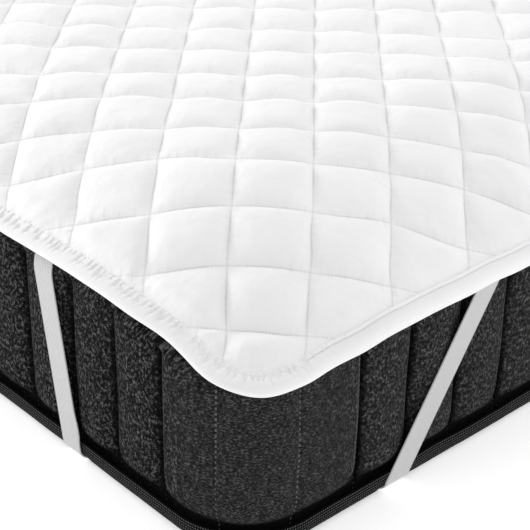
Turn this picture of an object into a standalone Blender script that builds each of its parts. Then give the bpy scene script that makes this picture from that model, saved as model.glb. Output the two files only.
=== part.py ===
# Quilted mattress protector held on a plain mattress by an elastic band under each corner.
# Metres, +Z up. X runs across the bed, Y along it, the foot end is at -Y. The mattress stands on Z = 0.
import math

import bmesh
import bpy
from mathutils import Vector

# Mattress
MATTRESS_WIDTH = 1.400
MATTRESS_LENGTH = 2.000
CROWN_HEIGHT = 0.240
CORNER_RADIUS = 0.075
SIDE_SHOULDER = 0.230        # the long sides start to fall this far in from their faces
END_SHOULDER = 0.211         # the same at the head and the foot
SHOULDER_BEND = 0.150        # run over which the fall reaches its full slope
SHOULDER_SLOPE = 0.41
RIM_RADIUS = 0.010           # edge between the sloping top and the upright side
BASE_RADIUS = 0.012          # edge between the upright side and the underside
FLAT_X = MATTRESS_WIDTH / 2 - SIDE_SHOULDER
FLAT_Y = MATTRESS_LENGTH / 2 - END_SHOULDER

# Protector, measured along the cloth
CLOTH_WIDTH = 1.441
CLOTH_LENGTH = 2.009
CLOTH_CORNER_RADIUS = 0.077
HALF_DIAMOND = 0.050         # half the diagonal of one quilted diamond
FIRST_PUFF_X = 0.6806        # the middle of the puff in the right corner of the foot end
FIRST_PUFF_Y = -0.9637
QUILTING_INSET = 0.024       # the drawn quilting stops this far in from the edge
DIAMONDS_X = 27              # half diamonds across and along
DIAMONDS_Y = 38
SEAM_THICKNESS = 0.0034
PUFF_THICKNESS = 0.0110
HALF_WAY_FILL = 0.78         # how full a puff is half way from its middle to a seam
EDGE_THICKNESS = 0.0030
EDGE_FADE = 0.030            # the puffs flatten this near to the binding
WRAP_RADIUS = 0.015          # bend of the cloth over the mattress rim

# Edge binding, a tape folded over the edge of the cloth
BINDING_WIDTH = 0.020
BINDING_THICKNESS = 0.0010
BINDING_BENDS = (0.0130, 0.0065)     # where the tape's sides bend, in from the edge
FOLD_NOSE = 0.0008                   # the rounded fold, outside and inside
FOLD_INSIDE = 0.0012
CUT_EDGE = 0.0015                    # the raw edge of the cloth inside the fold

# Elastic corner bands
BAND_THICKNESS = 0.0012
BAND_TUCK = 0.024            # length hidden under the edge of the protector
END_BAND_TOP = 0.255         # middle of the band, measured from the mattress corner
END_BAND_BASE = 0.226
END_BAND_WIDTH = 0.0260      # measured level, along the mattress
SIDE_BAND_TOP = 0.291
SIDE_BAND_BASE = 0.188
SIDE_BAND_WIDTH = 0.0300
GROOVE_MARGIN = 0.0010
GROOVE_CUT = 0.0040          # how far the cutter reaches out past the band

# Fits
GAP = 0.0003
BAND_GAP = 0.0005
RIM_GAP = 0.0022             # the binding stands this far off the rim of the mattress
RIM_GAP_REACH = 0.050        # in from here the cloth lies on the mattress
ARC_STEPS = 6
SHOULDER_ROWS = (0.25, 0.45, 0.65, 0.85)
RIM_STEPS = 3
RIM_APPROACH = 0.040         # over this stretch the surface turns to face straight out of the rim
SIDE_BY_SIDE = 0.01          # points of two loops that count as level, as a share of one side
EDGE_STITCH_STEP = 0.050     # spacing of the points where the quilting meets the binding


def shoulder_drop(run):
    if run < SHOULDER_BEND:
        return SHOULDER_SLOPE * run * run / (2 * SHOULDER_BEND)
    return SHOULDER_SLOPE * (run - SHOULDER_BEND / 2)


def shoulder_slope(run):
    return SHOULDER_SLOPE * min(1.0, run / SHOULDER_BEND)


def shoulder_run(arc):
    # level distance covered by a length of cloth that starts where the shoulder starts
    run = 0.0
    while arc > 1e-9:
        step = min(0.002, arc)
        run += step / math.hypot(1.0, shoulder_slope(run))
        arc -= step
    return run


def side_distance(x, y):
    # distance inward from the mattress outline, and the level direction straight out of it
    core_x = MATTRESS_WIDTH / 2 - CORNER_RADIUS
    core_y = MATTRESS_LENGTH / 2 - CORNER_RADIUS
    over = Vector((max(0.0, abs(x) - core_x), max(0.0, abs(y) - core_y), 0.0))
    if over.x > 0 and over.y > 0:
        distance = CORNER_RADIUS - over.length
        outward = over.normalized()
    elif MATTRESS_WIDTH / 2 - abs(x) < MATTRESS_LENGTH / 2 - abs(y):
        distance = MATTRESS_WIDTH / 2 - abs(x)
        outward = Vector((1.0, 0.0, 0.0))
    else:
        distance = MATTRESS_LENGTH / 2 - abs(y)
        outward = Vector((0.0, 1.0, 0.0))
    return distance, Vector((math.copysign(outward.x, x), math.copysign(outward.y, y), 0.0))


FULL_SLOPE = math.atan(SHOULDER_SLOPE)
RIM_START = RIM_RADIUS * math.tan((math.pi / 2 - FULL_SLOPE) / 2) * math.cos(FULL_SLOPE)


def rim_point(x, y, angle, lift):
    # a point on the rounded rim beside (x, y), where the surface falls at the given angle
    distance, outward = side_distance(x, y)
    start = Vector((x, y, 0.0)) + outward * (distance - RIM_START)
    run = math.hypot(max(0.0, abs(start.x) - FLAT_X), max(0.0, abs(start.y) - FLAT_Y))
    start.z = CROWN_HEIGHT - shoulder_drop(run)
    up = Vector((0.0, 0.0, 1.0))
    centre = start - (outward * math.sin(FULL_SLOPE) + up * math.cos(FULL_SLOPE)) * RIM_RADIUS
    return centre + (outward * math.sin(angle) + up * math.cos(angle)) * (RIM_RADIUS + lift)


def drape(u, v, lift):
    # where the cloth point (u, v) lies on the mattress, raised by lift along the normal
    over_x = max(0.0, abs(u) - FLAT_X)
    over_y = max(0.0, abs(v) - FLAT_Y)
    arc = math.hypot(over_x, over_y)
    if arc < 1e-9:
        return Vector((u, v, CROWN_HEIGHT + lift)), 0.0
    run = shoulder_run(arc)
    away = Vector((math.copysign(over_x, u), math.copysign(over_y, v), 0.0)) / arc
    x = math.copysign(min(abs(u), FLAT_X), u) + away.x * run
    y = math.copysign(min(abs(v), FLAT_Y), v) + away.y * run
    distance, outward = side_distance(x, y)
    beyond = (RIM_START - distance) / math.cos(FULL_SLOPE)
    if beyond > 0:
        angle = min(FULL_SLOPE + beyond / WRAP_RADIUS, math.pi / 2)
        return rim_point(x, y, angle, lift), angle
    angle = math.atan(shoulder_slope(run))
    facing = away.lerp(outward, max(0.0, 1.0 + beyond / RIM_APPROACH)).normalized()
    normal = facing * math.sin(angle) + Vector((0.0, 0.0, math.cos(angle)))
    return Vector((x, y, CROWN_HEIGHT - shoulder_drop(run))) + normal * lift, angle


def cloth_inset(u, v):
    # distance inward from the cut edge of the cloth
    core_u = CLOTH_WIDTH / 2 - CLOTH_CORNER_RADIUS
    core_v = CLOTH_LENGTH / 2 - CLOTH_CORNER_RADIUS
    if abs(u) > core_u and abs(v) > core_v:
        return CLOTH_CORNER_RADIUS - math.hypot(abs(u) - core_u, abs(v) - core_v)
    return min(CLOTH_WIDTH / 2 - abs(u), CLOTH_LENGTH / 2 - abs(v))


def cloth_gap(inset):
    # space between the mattress and the underside of the quilted cloth
    at_rim = RIM_GAP + BINDING_THICKNESS + GAP
    share = (inset - BINDING_WIDTH) / (RIM_GAP_REACH - BINDING_WIDTH)
    return at_rim + (GAP - at_rim) * min(1.0, max(0.0, share))


def cloth_loop(inset_x, inset_y):
    # a closed loop of cloth points this far in from the cut edge, the same count at every inset
    half_x = CLOTH_WIDTH / 2 - inset_x
    half_y = CLOTH_LENGTH / 2 - inset_y
    radius = max(CLOTH_CORNER_RADIUS - min(inset_x, inset_y), 0.012)
    straight_x = half_x - radius - FLAT_X
    straight_y = half_y - radius - FLAT_Y
    quarter = [(half_x, FLAT_Y + straight_y * third / 3) for third in range(3)]
    for step in range(ARC_STEPS + 1):
        turn = math.pi / 2 * step / ARC_STEPS
        quarter.append((half_x - radius + radius * math.cos(turn),
                        half_y - radius + radius * math.sin(turn)))
    quarter += [(FLAT_X + straight_x * third / 3, half_y) for third in (2, 1, 0)]
    mirrored = quarter[::-1]
    return (quarter + [(-x, y) for x, y in mirrored]
            + [(-x, -y) for x, y in quarter] + [(x, -y) for x, y in mirrored])


QUARTER_COUNT = len(cloth_loop(0.0, 0.0)) // 4
FLAT_CORNERS = ((FLAT_X, FLAT_Y), (-FLAT_X, FLAT_Y), (-FLAT_X, -FLAT_Y), (FLAT_X, -FLAT_Y))


def shoulder_loops():
    # loops from the binding in to the flat middle, shared by all that lies on the mattress
    width = CLOTH_WIDTH / 2 - FLAT_X
    length = CLOTH_LENGTH / 2 - FLAT_Y
    return [cloth_loop(share * width, share * length) for share in SHOULDER_ROWS]


def add_loop(mesh, points):
    return [mesh.verts.new(point) for point in points]


def skin(mesh, loops):
    # joins each loop of vertices to the next; the diagonals run alike on every layer of cloth,
    # so that layers which follow each other closely stay apart at the corners
    for first, second in zip(loops, loops[1:]):
        count = len(first)
        spreading = max(v.co.x for v in second) > max(v.co.x for v in first)
        inner, outer = (first, second) if spreading else (second, first)
        for index in range(count):
            after = (index + 1) % count
            mesh.faces.new((inner[index], inner[after], outer[after]))
            mesh.faces.new((inner[index], outer[after], outer[index]))


def close_flat_middle(mesh, loop, lift):
    # the inmost shoulder loop runs in to the four corners of the flat middle, which is one face
    corners = [mesh.verts.new(drape(u, v, lift)[0]) for u, v in FLAT_CORNERS]
    count = len(loop)
    for index in range(count):
        after = (index + 1) % count
        corner = corners[index // QUARTER_COUNT]
        if index % QUARTER_COUNT == QUARTER_COUNT - 1:
            next_corner = corners[(index // QUARTER_COUNT + 1) % 4]
            mesh.faces.new((loop[index], loop[after], next_corner, corner))
        else:
            mesh.faces.new((loop[index], loop[after], corner))
    mesh.faces.new(corners)


def zip_loops(mesh, outer, inner):
    # triangles between two loops of (place round the edge, vertex) with different counts;
    # where their points lie side by side the diagonals run as in skin
    place = 0
    other = 0
    while place < len(outer) or other < len(inner):
        outer_next = outer[place][0] if place < len(outer) else math.inf
        inner_next = inner[other][0] if other < len(inner) else math.inf
        near = outer[place % len(outer)][1]
        far = inner[other % len(inner)][1]
        if outer_next <= inner_next + SIDE_BY_SIDE and place < len(outer):
            mesh.faces.new((outer[place - 1][1], near, inner[other - 1][1]))
            place += 1
        else:
            mesh.faces.new((outer[place - 1][1], far, inner[other - 1][1]))
            other += 1


def place_round_edge(u, v):
    # runs from 0 to 4 round the cloth, one for each side
    across = u / (CLOTH_WIDTH / 2)
    along = v / (CLOTH_LENGTH / 2)
    if abs(across) >= abs(along):
        share = along / abs(across)
        return 0.5 + share / 2 if across > 0 else 2.5 - share / 2
    share = across / abs(along)
    return 1.5 - share / 2 if along > 0 else 3.5 + share / 2


def placed(points, vertices):
    # vertices in order round the cloth, each with its place
    places = [place_round_edge(u, v) for u, v in points]
    order = sorted(range(len(points)), key=places.__getitem__)
    return [(places[index], vertices[index]) for index in order]


def close_spaced(loop):
    # the same loop with points added along its straight runs
    points = []
    for (u0, v0), (u1, v1) in zip(loop, loop[1:] + loop[:1]):
        count = max(1, round(math.hypot(u1 - u0, v1 - v0) / EDGE_STITCH_STEP))
        points += [(u0 + (u1 - u0) * step / count, v0 + (v1 - v0) * step / count)
                   for step in range(count)]
    return points


def fabric(name, colour, roughness):
    material = bpy.data.materials.new(name)
    material.use_nodes = True
    shader = material.node_tree.nodes["Principled BSDF"]
    shader.inputs["Base Color"].default_value = (*colour, 1.0)
    shader.inputs["Roughness"].default_value = roughness
    shader.inputs["Metallic"].default_value = 0.0
    return material


def finish_object(mesh, name, material):
    bmesh.ops.recalc_face_normals(mesh, faces=mesh.faces[:])
    data = bpy.data.meshes.new(name)
    mesh.to_mesh(data)
    mesh.free()
    data.shade_smooth()
    data.set_sharp_from_angle(angle=math.radians(40))
    thing = bpy.data.objects.new(name, data)
    bpy.context.scene.collection.objects.link(thing)
    if material:
        data.materials.append(material)
    return thing


def side_point(x, y, inset, z):
    # the point at this height beside (x, y), at a distance in from the mattress outline
    distance, outward = side_distance(x, y)
    return Vector((x, y, 0.0)) + outward * (distance - inset) + Vector((0.0, 0.0, z))


def build_mattress():
    mesh = bmesh.new()
    rows = [[drape(u, v, 0.0)[0] for u, v in loop] for loop in reversed(shoulder_loops())]
    for inset in (BINDING_WIDTH, *BINDING_BENDS):
        rows.append([drape(u, v, 0.0)[0] for u, v in cloth_loop(inset, inset)])
    edge = [drape(u, v, 0.0) for u, v in cloth_loop(0.0, 0.0)]
    rows.append([point for point, _ in edge])
    for step in range(1, RIM_STEPS + 1):
        share = step / RIM_STEPS
        rows.append([rim_point(point.x, point.y, angle + (math.pi / 2 - angle) * share, 0.0)
                     for point, angle in edge])
    for step in range(RIM_STEPS + 1):
        turn = math.pi / 2 * step / RIM_STEPS
        rows.append([side_point(point.x, point.y, BASE_RADIUS * (1 - math.cos(turn)),
                                BASE_RADIUS * (1 - math.sin(turn))) for point, _ in edge])
    loops = [add_loop(mesh, row) for row in rows]
    skin(mesh, loops)
    close_flat_middle(mesh, loops[0], 0.0)
    mesh.faces.new(loops[-1])
    return finish_object(mesh, "mattress", fabric("charcoal_ticking", (0.045, 0.046, 0.052), 0.9))


def quilt_thickness(column, row, inset):
    # thin where seams cross, full in the middle of each diamond; column and row count half diamonds
    fade = min(1.0, max(0.0, (inset - BINDING_WIDTH) / EDGE_FADE))
    puff = (PUFF_THICKNESS - SEAM_THICKNESS) * fade
    if column % 1 or row % 1:
        return SEAM_THICKNESS + puff * HALF_WAY_FILL
    return SEAM_THICKNESS + puff * ((column + row + 1) % 2)


def add_quilting(mesh):
    # six faces to each square between two seam crossings and two crowns; returns the open edge
    knots = {}

    def cloth_point(column, row):
        return FIRST_PUFF_X - column * HALF_DIAMOND, FIRST_PUFF_Y + row * HALF_DIAMOND

    def knot(column, row):
        if (column, row) not in knots:
            u, v = cloth_point(column, row)
            inset = cloth_inset(u, v)
            lift = cloth_gap(inset) + quilt_thickness(column, row, inset)
            knots[column, row] = mesh.verts.new(drape(u, v, lift)[0])
        return knots[column, row]

    for column in range(DIAMONDS_X):
        for row in range(DIAMONDS_Y):
            corners = [(column, row), (column + 1, row), (column + 1, row + 1), (column, row + 1)]
            if min(cloth_inset(*cloth_point(*corner)) for corner in corners) < QUILTING_INSET:
                continue
            if (column + row) % 2 == 0:
                corners = corners[1:] + corners[:1]
            seam_a, crown_b, seam_c, crown_d = [knot(*corner) for corner in corners]
            half_ab, half_bc, half_cd, half_da = [
                knot((c0 + c1) / 2, (r0 + r1) / 2)
                for (c0, r0), (c1, r1) in zip(corners, corners[1:] + corners[:1])]
            for face in ((seam_a, half_ab, seam_c), (half_ab, half_bc, seam_c),
                         (half_ab, crown_b, half_bc), (seam_a, seam_c, half_da),
                         (seam_c, half_cd, half_da), (half_cd, crown_d, half_da)):
                mesh.faces.new(face)

    rim = {vertex for edge in mesh.edges if edge.is_boundary for vertex in edge.verts}
    outline = [place for place, vertex in knots.items() if vertex in rim]
    return placed([cloth_point(*place) for place in outline], [knots[place] for place in outline])


def build_quilted_cloth():
    mesh = bmesh.new()
    quilting = add_quilting(mesh)
    below = RIM_GAP + BINDING_THICKNESS + GAP
    above = below + EDGE_THICKNESS

    stitched = close_spaced(cloth_loop(BINDING_WIDTH, BINDING_WIDTH))
    stitched_edge = placed(stitched, add_loop(mesh, [drape(u, v, above)[0] for u, v in stitched]))
    zip_loops(mesh, stitched_edge, quilting)

    insets = (*BINDING_BENDS, CUT_EDGE)
    rows = [[drape(u, v, above)[0] for u, v in cloth_loop(inset, inset)] for inset in insets]
    for inset in (*reversed(insets), BINDING_WIDTH):
        rows.append([drape(u, v, below)[0] for u, v in cloth_loop(inset, inset)])
    for loop in shoulder_loops():
        rows.append([drape(u, v, cloth_gap(cloth_inset(u, v)))[0] for u, v in loop])
    loops = [add_loop(mesh, row) for row in rows]
    skin(mesh, loops)
    close_flat_middle(mesh, loops[-1], GAP)
    zip_loops(mesh, placed(cloth_loop(insets[0], insets[0]), loops[0]), stitched_edge)
    return finish_object(mesh, "quilted_cloth", fabric("white_cotton", (0.86, 0.86, 0.87), 0.85))


def build_binding():
    mesh = bmesh.new()
    below = RIM_GAP
    above = RIM_GAP + 2 * BINDING_THICKNESS + 2 * GAP + EDGE_THICKNESS
    middle = (above + below) / 2
    sides = (BINDING_WIDTH, *BINDING_BENDS)
    profile = [(inset, above) for inset in sides]
    profile += [(FOLD_NOSE, above), (0.0, middle), (FOLD_NOSE, below)]
    profile += [(inset, below) for inset in reversed(sides)]
    profile += [(inset, below + BINDING_THICKNESS) for inset in sides]
    profile += [(FOLD_INSIDE, below + BINDING_THICKNESS), (FOLD_INSIDE, above - BINDING_THICKNESS)]
    profile += [(inset, above - BINDING_THICKNESS) for inset in reversed(sides)]
    loops = []
    for inset, lift in profile:
        loops.append(add_loop(mesh, [drape(u, v, lift)[0] for u, v in cloth_loop(inset, inset)]))
    skin(mesh, loops + loops[:1])
    return finish_object(mesh, "edge_binding", fabric("white_binding", (0.88, 0.88, 0.89), 0.8))


def band_rows(margin, inner_shift, thickness):
    # sections of one corner band: each is the inner and outer point of its near and its far edge
    rows = []

    def section(leg, distance, width, place):
        near_and_far = []
        for offset in (distance - width / 2 - margin, distance + width / 2 + margin):
            if leg == "end":
                beside = (MATTRESS_WIDTH / 2 - offset, MATTRESS_LENGTH / 2)
            else:
                beside = (MATTRESS_WIDTH / 2, MATTRESS_LENGTH / 2 - offset)
            near_and_far.append([place(*beside, lift) for lift in (inner_shift, inner_shift + thickness)])
        return near_and_far

    def tucked(x, y, lift):
        start = rim_point(x, y, FULL_SLOPE, lift)
        _, outward = side_distance(x, y)
        slope = outward * math.cos(FULL_SLOPE) - Vector((0.0, 0.0, math.sin(FULL_SLOPE)))
        return start - slope * BAND_TUCK

    def on_rim(angle):
        return lambda x, y, lift: rim_point(x, y, angle, BAND_GAP + lift)

    def round_base(turn):
        # the band sinks into its groove as it turns under the mattress
        sink = (BAND_GAP + BAND_THICKNESS + GAP) * turn / (math.pi / 2)

        def place(x, y, lift):
            radius = BASE_RADIUS + BAND_GAP - sink + lift
            return side_point(x, y, BASE_RADIUS - radius * math.cos(turn),
                              BASE_RADIUS - radius * math.sin(turn))
        return place

    for leg in ("end", "side"):
        top = END_BAND_TOP if leg == "end" else SIDE_BAND_TOP
        base = END_BAND_BASE if leg == "end" else SIDE_BAND_BASE
        width = END_BAND_WIDTH if leg == "end" else SIDE_BAND_WIDTH
        leg_rows = [section(leg, top, width, lambda x, y, lift: tucked(x, y, BAND_GAP + lift))]
        for step in range(RIM_STEPS + 1):
            angle = FULL_SLOPE + (math.pi / 2 - FULL_SLOPE) * step / RIM_STEPS
            leg_rows.append(section(leg, top, width, on_rim(angle)))
        for step in range(RIM_STEPS + 1):
            leg_rows.append(section(leg, base, width, round_base(math.pi / 2 * step / RIM_STEPS)))
        rows += leg_rows if leg == "end" else leg_rows[::-1]
    return rows


def add_band(mesh, rows, sign_x, sign_y):
    loops = []
    for (near_in, near_out), (far_in, far_out) in rows:
        points = [Vector((point.x * sign_x, point.y * sign_y, point.z))
                  for point in (near_in, near_out, far_out, far_in)]
        loops.append(add_loop(mesh, points))
    skin(mesh, loops)
    mesh.faces.new(loops[0])
    mesh.faces.new(loops[-1])


CORNERS = (("foot_right", 1, -1), ("foot_left", -1, -1), ("head_right", 1, 1), ("head_left", -1, 1))


def build_bands():
    elastic = fabric("grey_elastic", (0.62, 0.62, 0.64), 0.75)
    for corner, sign_x, sign_y in CORNERS:
        mesh = bmesh.new()
        add_band(mesh, band_rows(0.0, 0.0, BAND_THICKNESS), sign_x, sign_y)
        finish_object(mesh, "elastic_band_" + corner, elastic)


def cut_band_grooves(mattress):
    # the bands run under the corners in shallow grooves, so the mattress still stands flat
    mesh = bmesh.new()
    under_rows = band_rows(GROOVE_MARGIN, -GAP, BAND_THICKNESS + GROOVE_CUT)
    first = RIM_STEPS + 2
    for _, sign_x, sign_y in CORNERS:
        add_band(mesh, under_rows[first:-first], sign_x, sign_y)
    cutter = finish_object(mesh, "band_groove_cutter", None)
    cutter.hide_render = True
    cutter.display_type = "WIRE"
    grooves = mattress.modifiers.new("band_grooves", "BOOLEAN")
    grooves.operation = "DIFFERENCE"
    grooves.solver = "EXACT"
    grooves.object = cutter


def build_part():
    for old in list(bpy.data.objects):
        bpy.data.objects.remove(old, do_unlink=True)
    mattress = build_mattress()
    cut_band_grooves(mattress)
    build_quilted_cloth()
    build_binding()
    build_bands()


build_part()
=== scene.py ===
import math

import bmesh
import bpy
import numpy as np
from mathutils import Matrix, Vector


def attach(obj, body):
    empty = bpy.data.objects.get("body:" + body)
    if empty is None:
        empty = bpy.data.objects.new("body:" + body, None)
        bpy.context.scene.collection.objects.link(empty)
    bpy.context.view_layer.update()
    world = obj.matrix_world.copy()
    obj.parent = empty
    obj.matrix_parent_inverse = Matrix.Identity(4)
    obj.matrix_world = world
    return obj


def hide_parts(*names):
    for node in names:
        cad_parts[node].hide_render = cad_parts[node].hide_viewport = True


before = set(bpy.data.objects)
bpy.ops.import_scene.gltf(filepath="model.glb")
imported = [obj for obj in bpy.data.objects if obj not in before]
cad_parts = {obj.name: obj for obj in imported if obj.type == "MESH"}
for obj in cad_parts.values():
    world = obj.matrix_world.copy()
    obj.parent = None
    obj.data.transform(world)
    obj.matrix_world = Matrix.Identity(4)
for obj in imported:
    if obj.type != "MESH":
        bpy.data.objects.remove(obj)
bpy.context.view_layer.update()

# camera

camera = {
    "place": (1.3769, -1.6042, 0.7788),
    "turn": 47.13,               # degrees round the upright axis
    "tilt": 61.69,               # up from looking straight down
    "roll": 1.03,
    "lens": 97.8,
}


def addCamera():
    data = bpy.data.cameras.new("camera")
    data.lens = camera["lens"]
    data.sensor_width = 36
    data.clip_start = 0.02
    data.clip_end = 60
    thing = bpy.data.objects.new("camera", data)
    bpy.context.scene.collection.objects.link(thing)
    turn = Matrix.Rotation(math.radians(camera["turn"]), 4, "Z")
    tilt = Matrix.Rotation(math.radians(camera["tilt"]), 4, "X")
    roll = Matrix.Rotation(math.radians(camera["roll"]), 4, "Z")
    thing.matrix_world = Matrix.Translation(camera["place"]) @ turn @ tilt @ roll
    bpy.context.scene.camera = thing


addCamera()
print("camera ready")

# the shape of the bed, as in the part

bed = {
    "halfWidth": 0.700,
    "halfLength": 1.000,
    "corner": 0.075,
    "crown": 0.240,
    "flatX": 0.470,              # the top is level out to here
    "flatY": 0.789,
    "bend": 0.150,               # then falls off, reaching its full slope over this run
    "slope": 0.41,
    "rim": 0.010,
    "base": 0.012,
    "wrap": 0.015,               # bend of the cloth over the rim
    "approach": 0.040,
}
fullSlope = math.atan(bed["slope"])
rimStart = bed["rim"] * math.tan((math.pi / 2 - fullSlope) / 2) * math.cos(fullSlope)
runTable = np.linspace(0, 0.6, 3001)
slopeTable = bed["slope"] * np.minimum(1, runTable / bed["bend"])
arcTable = np.concatenate([[0], np.cumsum(np.hypot(1, slopeTable[1:]) * np.diff(runTable))])
upward = np.array([0.0, 0.0, 1.0])


def shoulderDrop(run):
    bend = bed["bend"]
    return np.where(run < bend, bed["slope"] * run * run / (2 * bend), bed["slope"] * (run - bend / 2))


def shoulderSlope(run):
    return bed["slope"] * np.minimum(1, run / bed["bend"])


def smooth(low, high, value):
    share = np.clip((value - low) / (high - low), 0, 1)
    return share * share * (3 - 2 * share)


def sideDistance(x, y):
    # how far in from the mattress outline, and the level direction straight out of it
    overX = np.maximum(0, np.abs(x) - bed["halfWidth"] + bed["corner"])
    overY = np.maximum(0, np.abs(y) - bed["halfLength"] + bed["corner"])
    toSide = bed["halfWidth"] - np.abs(x)
    toEnd = bed["halfLength"] - np.abs(y)
    length = np.maximum(np.hypot(overX, overY), 1e-9)
    inCorner = (overX > 0) & (overY > 0)
    sideFirst = toSide < toEnd
    distance = np.where(inCorner, bed["corner"] - length, np.where(sideFirst, toSide, toEnd))
    outX = np.where(inCorner, overX / length, np.where(sideFirst, 1.0, 0.0))
    outY = np.where(inCorner, overY / length, np.where(sideFirst, 0.0, 1.0))
    out = np.stack([np.copysign(outX, x), np.copysign(outY, y), np.zeros_like(outX)], axis=-1)
    return distance, out


def topHeight(x, y):
    run = np.hypot(np.maximum(0, np.abs(x) - bed["flatX"]), np.maximum(0, np.abs(y) - bed["flatY"]))
    return bed["crown"] - shoulderDrop(run)


def rimPoint(x, y, angle, lift):
    # on the rounded rim beside (x, y), where the surface falls at the given angle
    distance, out = sideDistance(x, y)
    start = np.stack([x, y, np.zeros_like(x)], axis=-1) + out * (distance - rimStart)[..., None]
    start[..., 2] = topHeight(start[..., 0], start[..., 1])
    centre = start - (out * math.sin(fullSlope) + upward * math.cos(fullSlope)) * bed["rim"]
    normal = out * np.sin(angle)[..., None] + upward * np.cos(angle)[..., None]
    return centre + normal * (bed["rim"] + lift)[..., None]


drawnIn = {
    "reach": 0.10,               # how far in from the edge the cloth is moved
    "endDepth": 0.0060,          # furthest draw of the edge at the two ends, and where it is across the bed
    "endPlace": 0.616,
    "endWidth": 0.060,
    "sideDepth": 0.0050,         # the same on the long sides
    "sidePlace": 0.930,
    "sideWidth": 0.040,
}


def drawIn(u, v):
    # the elastic draws the edge of the cloth in beside each corner
    overEnd = 1 - smooth(0, drawnIn["reach"], quilt["halfLength"] - np.abs(v))
    overSide = 1 - smooth(0, drawnIn["reach"], quilt["halfWidth"] - np.abs(u))
    atEnd = np.exp(-((np.abs(u) - drawnIn["endPlace"]) / drawnIn["endWidth"]) ** 2)
    atSide = np.exp(-((np.abs(v) - drawnIn["sidePlace"]) / drawnIn["sideWidth"]) ** 2)
    return (u - np.copysign(drawnIn["sideDepth"] * atSide * overSide, u),
            v - np.copysign(drawnIn["endDepth"] * atEnd * overEnd, v))


def drape(u, v, lift):
    # where the cloth point (u, v) lies over the bed, raised by lift
    u, v, lift = np.broadcast_arrays(np.asarray(u, float), np.asarray(v, float), np.asarray(lift, float))
    u, v = drawIn(u, v)
    overX = np.maximum(0, np.abs(u) - bed["flatX"])
    overY = np.maximum(0, np.abs(v) - bed["flatY"])
    arc = np.hypot(overX, overY)
    run = np.interp(arc, arcTable, runTable)
    near = np.maximum(arc, 1e-9)
    away = np.stack([np.copysign(overX, u) / near, np.copysign(overY, v) / near, np.zeros_like(arc)], axis=-1)
    x = np.clip(u, -bed["flatX"], bed["flatX"]) + away[..., 0] * run
    y = np.clip(v, -bed["flatY"], bed["flatY"]) + away[..., 1] * run
    distance, out = sideDistance(x, y)
    beyond = (rimStart - distance) / math.cos(fullSlope)
    share = np.maximum(0, 1 + np.minimum(beyond, 0) / bed["approach"])[..., None]
    facing = away * (1 - share) + out * share
    facing /= np.maximum(np.linalg.norm(facing, axis=-1), 1e-9)[..., None]
    angle = np.arctan(shoulderSlope(run))
    normal = facing * np.sin(angle)[..., None] + upward * np.cos(angle)[..., None]
    lying = np.stack([x, y, bed["crown"] - shoulderDrop(run)], axis=-1) + normal * lift[..., None]
    hanging = rimPoint(x, y, np.minimum(fullSlope + np.maximum(beyond, 0) / bed["wrap"], math.pi / 2), lift)
    return np.where((beyond > 0)[..., None], hanging, lying)


def roundedOutline(shape, places):
    # points on a rounded rectangle and the direction straight out, for distances along it in metres;
    # 0 is the middle of the corner at +X -Y, and the way goes up the long side first
    halfX, halfY, radius = shape["halfWidth"], shape["halfLength"], shape["corner"]
    halfArc = math.pi / 4 * radius
    long = 2 * (halfY - radius)
    wide = 2 * (halfX - radius)
    runs = [("arc", -90, halfX - radius, -halfY + radius, 0.0),
            ("line", 0, halfX, -halfY + radius, long),
            ("arc", 0, halfX - radius, halfY - radius, 0.0),
            ("line", 90, halfX - radius, halfY, wide),
            ("arc", 90, -halfX + radius, halfY - radius, 0.0),
            ("line", 180, -halfX, halfY - radius, long),
            ("arc", 180, -halfX + radius, -halfY + radius, 0.0),
            ("line", 270, -halfX + radius, -halfY, wide),
            ("arc", 270, halfX - radius, -halfY + radius, 0.0)]
    total = 2 * (long + wide) + 8 * halfArc
    places = np.mod(places, total)
    x, y = np.zeros_like(places), np.zeros_like(places)
    outX, outY = np.zeros_like(places), np.zeros_like(places)
    start = -halfArc
    for kind, facing, atX, atY, length in runs:
        stretch = 2 * halfArc if kind == "arc" else length
        inside = (places >= start) & (places <= start + stretch)
        along = places[inside] - start
        if kind == "arc":
            turn = math.radians(facing) + along / radius
            outX[inside], outY[inside] = np.cos(turn), np.sin(turn)
            x[inside], y[inside] = atX + radius * np.cos(turn), atY + radius * np.sin(turn)
        else:
            turn = math.radians(facing)
            outX[inside], outY[inside] = math.cos(turn), math.sin(turn)
            x[inside] = atX - along * math.sin(turn)
            y[inside] = atY + along * math.cos(turn)
        start += stretch
    return x, y, outX, outY


def outlineLength(shape):
    halfX, halfY, radius = shape["halfWidth"], shape["halfLength"], shape["corner"]
    return 4 * (halfX + halfY - 2 * radius) + 2 * math.pi * radius


# making and shaping pieces


def startGrid(name, columns, rows):
    bpy.ops.object.select_all(action="DESELECT")
    bpy.ops.mesh.primitive_grid_add(x_subdivisions=columns, y_subdivisions=rows, size=2, calc_uvs=False)
    piece = bpy.context.active_object
    piece.name = name
    piece.data.name = name
    flat = readPoints(piece)
    column = np.rint((flat[:, 0] + 1) / 2 * columns).astype(int)
    row = np.rint((flat[:, 1] + 1) / 2 * rows).astype(int)
    return piece, column, row


def readPoints(piece):
    points = np.empty(len(piece.data.vertices) * 3)
    piece.data.vertices.foreach_get("co", points)
    return points.reshape(-1, 3)


def movePoints(piece, points):
    piece.data.vertices.foreach_set("co", np.ascontiguousarray(points, dtype=np.float32).ravel())
    piece.data.update()


def addMap(piece, name, values):
    # a UV map from one pair of values for each vertex
    layer = piece.data.uv_layers.new(name=name)
    corners = np.empty(len(piece.data.loops), dtype=np.int32)
    piece.data.loops.foreach_get("vertex_index", corners)
    layer.data.foreach_set("uv", np.ascontiguousarray(values[corners], dtype=np.float32).ravel())


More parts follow.
